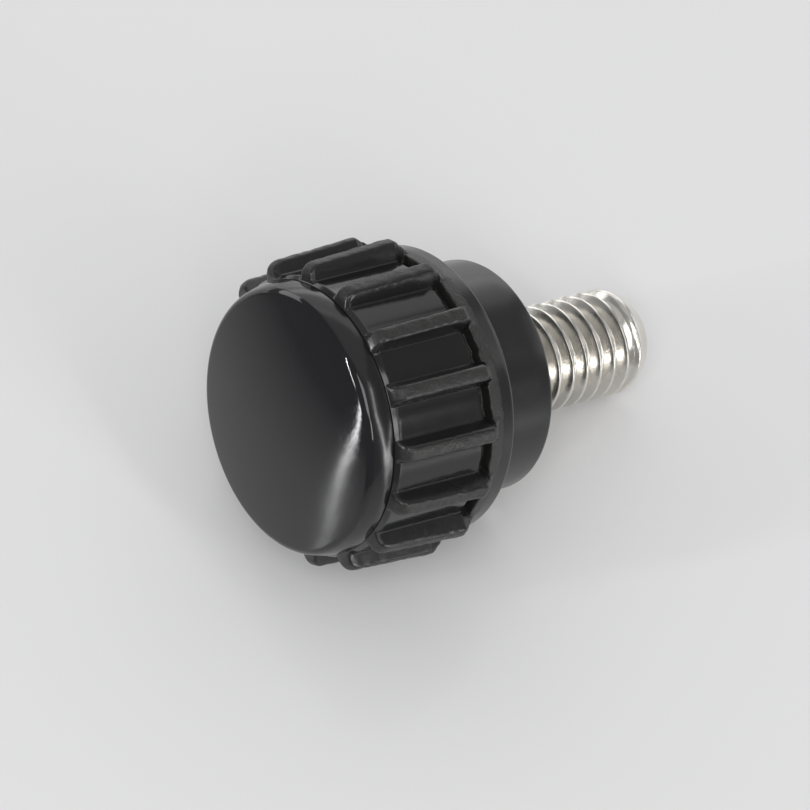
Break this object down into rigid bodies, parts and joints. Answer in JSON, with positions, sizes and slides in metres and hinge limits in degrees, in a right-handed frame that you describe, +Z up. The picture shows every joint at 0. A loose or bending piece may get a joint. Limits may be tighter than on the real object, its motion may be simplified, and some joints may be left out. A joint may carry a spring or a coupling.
{
  "type": "knurled knob",
  "caption": "Black moulded grip knob with raised lengthwise ribs, a polished face and a stainless threaded stud that screws into a tapped hole.",
  "frame": {"origin": "on the resting surface, under the middle of the overall box, with the knob lying on two ribs and the stud's end", "axes": "+Z up from the resting surface, +X along the level run of the knob's axis from the face to the stud, which dips 20.32 degrees"},
  "size_m": [0.0256, 0.0176, 0.018],
  "materials": {
    "head_plastic": "polished face and rim, satin ribs and hub",
    "stud_steel": "bright rolled thread"
  },
  "bodies": {
    "root": {"knob_head": "head_plastic", "threaded_stud": "stud_steel"}
  },
  "joints": []
}
